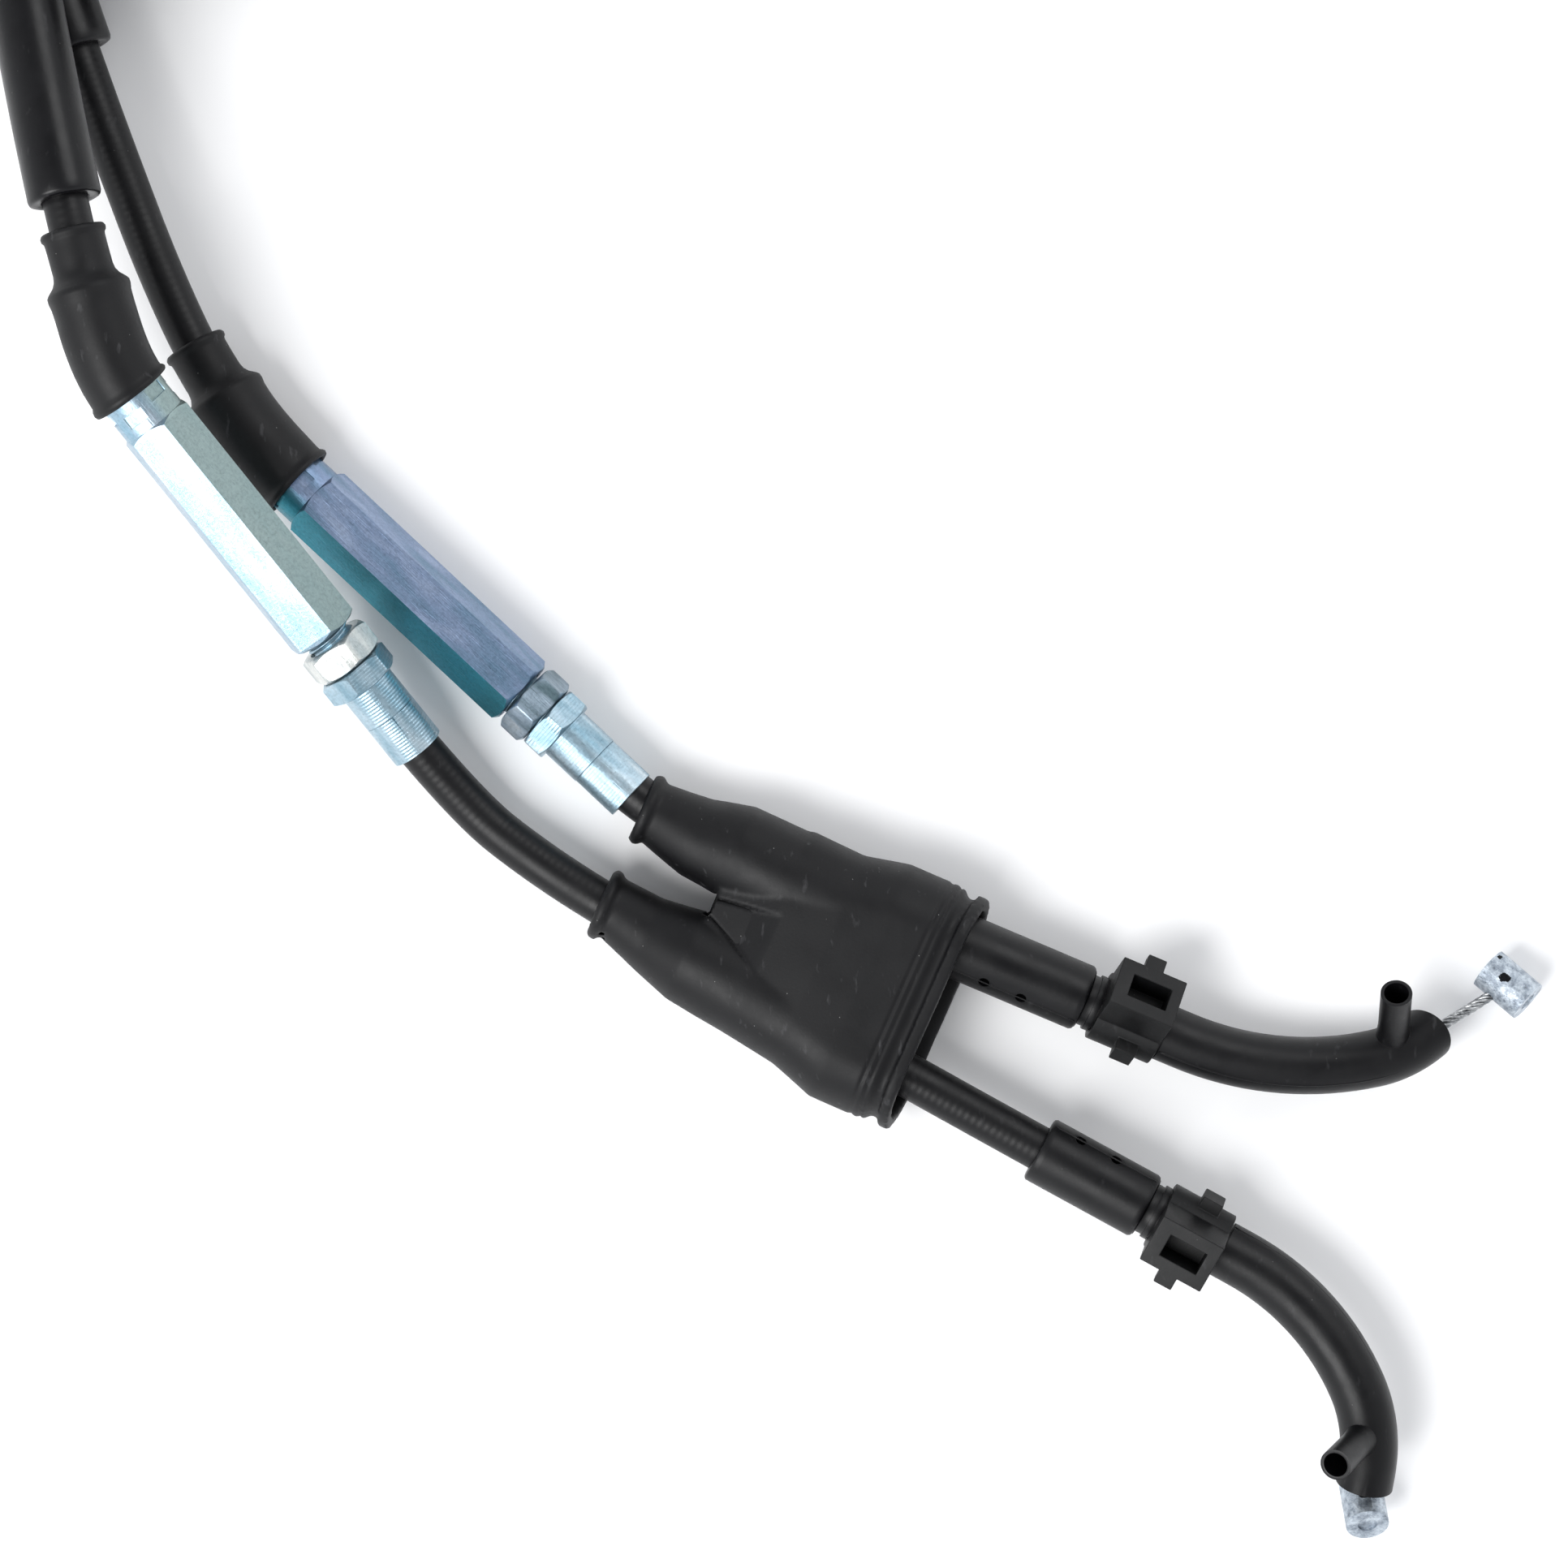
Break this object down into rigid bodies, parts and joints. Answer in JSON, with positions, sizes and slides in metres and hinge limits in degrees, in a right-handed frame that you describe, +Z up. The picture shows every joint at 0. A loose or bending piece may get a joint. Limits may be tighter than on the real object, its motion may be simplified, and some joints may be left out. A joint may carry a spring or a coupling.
{
  "type": "twin throttle cable set",
  "caption": "Pull and return throttle cables for a twist grip: moulded elbows, shared rubber boot, screw adjusters, sleeved casings and drum nipples.",
  "frame": {"origin": "on the bench, under the middle of the box round the laid-out cables without their coiled spare length", "axes": "+Z up from the bench, +X towards the drum nipples, +Y towards the coiled spare length"},
  "size_m": [0.1848, 0.2898, 0.0251],
  "materials": {
    "zinc_plate": "bright blue zinc plate over turned steel",
    "boot_rubber": "moulded black rubber, satin, dusty",
    "elbow_nylon": "black glass filled nylon, satin",
    "clip_nylon": "black nylon with frosted pads",
    "casing_pvc": "black PVC jacket, satin, faintly ribbed by its steel conduit",
    "sleeve_pvc": "black vinyl protective sleeve, satin",
    "cast_zinc": null,
    "wire_steel": "stranded steel wire",
    "conduit_steel": "wound steel conduit",
    "liner_ptfe": "white PTFE liner",
    "nylon_tie": "black nylon tie"
  },
  "bodies": {
    "root": {"coil_ties": "nylon_tie", "upper_adjuster_stud": "zinc_plate", "upper_elbow": "elbow_nylon", "upper_elbow_clip": "clip_nylon", "upper_short_casing": "casing_pvc", "upper_short_conduit": "conduit_steel", "upper_short_liner": "liner_ptfe", "upper_casing": "casing_pvc", "upper_sleeve": "sleeve_pvc", "upper_casing_coil": "casing_pvc", "upper_casing_tail": "casing_pvc", "upper_end_stud": "zinc_plate", "upper_end_seal": "boot_rubber", "lower_adjuster_stud": "zinc_plate", "lower_elbow": "elbow_nylon", "lower_elbow_clip": "clip_nylon", "lower_short_casing": "casing_pvc", "lower_short_conduit": "conduit_steel", "lower_short_liner": "liner_ptfe", "lower_casing": "casing_pvc", "lower_sleeve": "sleeve_pvc", "lower_casing_coil": "casing_pvc", "lower_casing_tail": "casing_pvc", "lower_end_stud": "zinc_plate", "lower_end_seal": "boot_rubber"},
    "upper_grip_end": {"upper_grip_nipple": "cast_zinc", "upper_grip_wire": "wire_steel"},
    "upper_engine_end": {"upper_end_nipple": "cast_zinc", "upper_end_wire": "wire_steel"},
    "upper_carriage": {"upper_casing_cap": "zinc_plate"},
    "upper_barrel": {"upper_adjuster_barrel": "zinc_plate"},
    "upper_boot": {"upper_dust_boot": "boot_rubber"},
    "upper_nut": {"upper_lock_nut": "zinc_plate"},
    "upper_inner_nut": {"upper_end_nut_inner": "zinc_plate"},
    "upper_outer_nut": {"upper_end_nut_outer": "zinc_plate"},
    "lower_grip_end": {"lower_grip_nipple": "cast_zinc", "lower_grip_wire": "wire_steel"},
    "lower_engine_end": {"lower_end_nipple": "cast_zinc", "lower_end_wire": "wire_steel"},
    "lower_carriage": {"lower_casing_cap": "zinc_plate"},
    "lower_barrel": {"lower_adjuster_barrel": "zinc_plate"},
    "lower_boot": {"lower_dust_boot": "boot_rubber"},
    "lower_nut": {"lower_lock_nut": "zinc_plate"},
    "lower_inner_nut": {"lower_end_nut_inner": "zinc_plate"},
    "lower_outer_nut": {"lower_end_nut_outer": "zinc_plate"},
    "shared_boot": {"twin_boot": "boot_rubber"}
  },
  "joints": [
    {"name": "upper_wire_pull", "type": "slide", "parent": "root", "child": "upper_grip_end", "axis": [0.8521, 0.5233, 0], "range_m": [-0.005, 0.03], "deforming": ["upper_grip_wire"]},
    {"name": "upper_engine_wire", "type": "slide", "parent": "root", "child": "upper_engine_end", "axis": [1, 0, 0], "range_m": [-0.0301, 0.0051], "deforming": ["upper_end_wire"]},
    {"name": "upper_adjuster_travel", "type": "slide", "parent": "root", "child": "upper_carriage", "axis": [-0.7302, 0.6833, 0], "range_m": [-0.0001, 0.0061], "deforming": ["upper_casing", "upper_sleeve"]},
    {"name": "upper_barrel_turn", "type": "hinge", "parent": "upper_carriage", "child": "upper_barrel", "pos_m": [-0.0567, 0.0452, 0.0053], "axis": [-0.7302, 0.6833, 0], "range_deg": [0, 2160]},
    {"name": "upper_dust_boot_slide", "type": "slide", "parent": "upper_carriage", "child": "upper_boot", "axis": [-0.7302, 0.6833, 0], "range_m": [0, 0.015], "deforming": ["upper_dust_boot"]},
    {"name": "upper_lock_nut_turn", "type": "hinge", "parent": "root", "child": "upper_nut", "pos_m": [-0.0567, 0.0452, 0.0053], "axis": [-0.7302, 0.6833, 0], "range_deg": [-60, 60]},
    {"name": "upper_inner_nut_turn", "type": "hinge", "parent": "root", "child": "upper_inner_nut", "pos_m": [-0.025, 0.1827, 0.0059], "axis": [1, 0, 0], "range_deg": [-60, 60]},
    {"name": "upper_outer_nut_turn", "type": "hinge", "parent": "root", "child": "upper_outer_nut", "pos_m": [-0.025, 0.1827, 0.0059], "axis": [1, 0, 0], "range_deg": [-60, 60]},
    {"name": "lower_wire_pull", "type": "slide", "parent": "root", "child": "lower_grip_end", "axis": [-0.1843, -0.9829, 0], "range_m": [0, 0.03], "deforming": ["lower_grip_wire"]},
    {"name": "lower_engine_wire", "type": "slide", "parent": "root", "child": "lower_engine_end", "axis": [0.9781, 0.2079, 0], "range_m": [-0.0301, 0.0001], "deforming": ["lower_end_wire"]},
    {"name": "lower_adjuster_travel", "type": "slide", "parent": "root", "child": "lower_carriage", "axis": [-0.5963, 0.7605, 0.2571], "range_m": [-0.0011, 0.0051], "deforming": ["lower_casing", "lower_sleeve"]},
    {"name": "lower_barrel_turn", "type": "hinge", "parent": "lower_carriage", "child": "lower_barrel", "pos_m": [-0.0741, 0.0535, 0.018], "axis": [-0.5963, 0.7605, 0.2571], "range_deg": [-360, 1800]},
    {"name": "lower_dust_boot_slide", "type": "slide", "parent": "lower_carriage", "child": "lower_boot", "axis": [-0.5963, 0.7605, 0.2571], "range_m": [0, 0.003], "deforming": ["lower_dust_boot"]},
    {"name": "lower_lock_nut_turn", "type": "hinge", "parent": "root", "child": "lower_nut", "pos_m": [-0.0741, 0.0535, 0.018], "axis": [-0.5963, 0.7605, 0.2571], "range_deg": [-60, 60]},
    {"name": "lower_inner_nut_turn", "type": "hinge", "parent": "root", "child": "lower_inner_nut", "pos_m": [-0.024, 0.1958, 0.0059], "axis": [0.9781, 0.2079, 0], "range_deg": [-60, 60]},
    {"name": "lower_outer_nut_turn", "type": "hinge", "parent": "root", "child": "lower_outer_nut", "pos_m": [-0.024, 0.1958, 0.0059], "axis": [0.9781, 0.2079, 0], "range_deg": [-60, 60]},
    {"name": "twin_boot_slide", "type": "slide", "parent": "root", "child": "shared_boot", "axis": [0.9135, -0.4067, 0], "range_m": [0, 0.009], "deforming": ["upper_short_casing", "upper_short_conduit", "upper_short_liner", "lower_short_casing", "lower_short_conduit", "lower_short_liner"]}
  ],
  "couplings": [
    {"joint": "upper_engine_wire", "follows": "upper_wire_pull", "ratio": -1},
    {"joint": "upper_adjuster_travel", "follows": "upper_barrel_turn", "m_per_rad": 0.00015915},
    {"joint": "lower_engine_wire", "follows": "lower_wire_pull", "ratio": -1},
    {"joint": "lower_adjuster_travel", "follows": "lower_barrel_turn", "m_per_rad": 0.00015915}
  ]
}
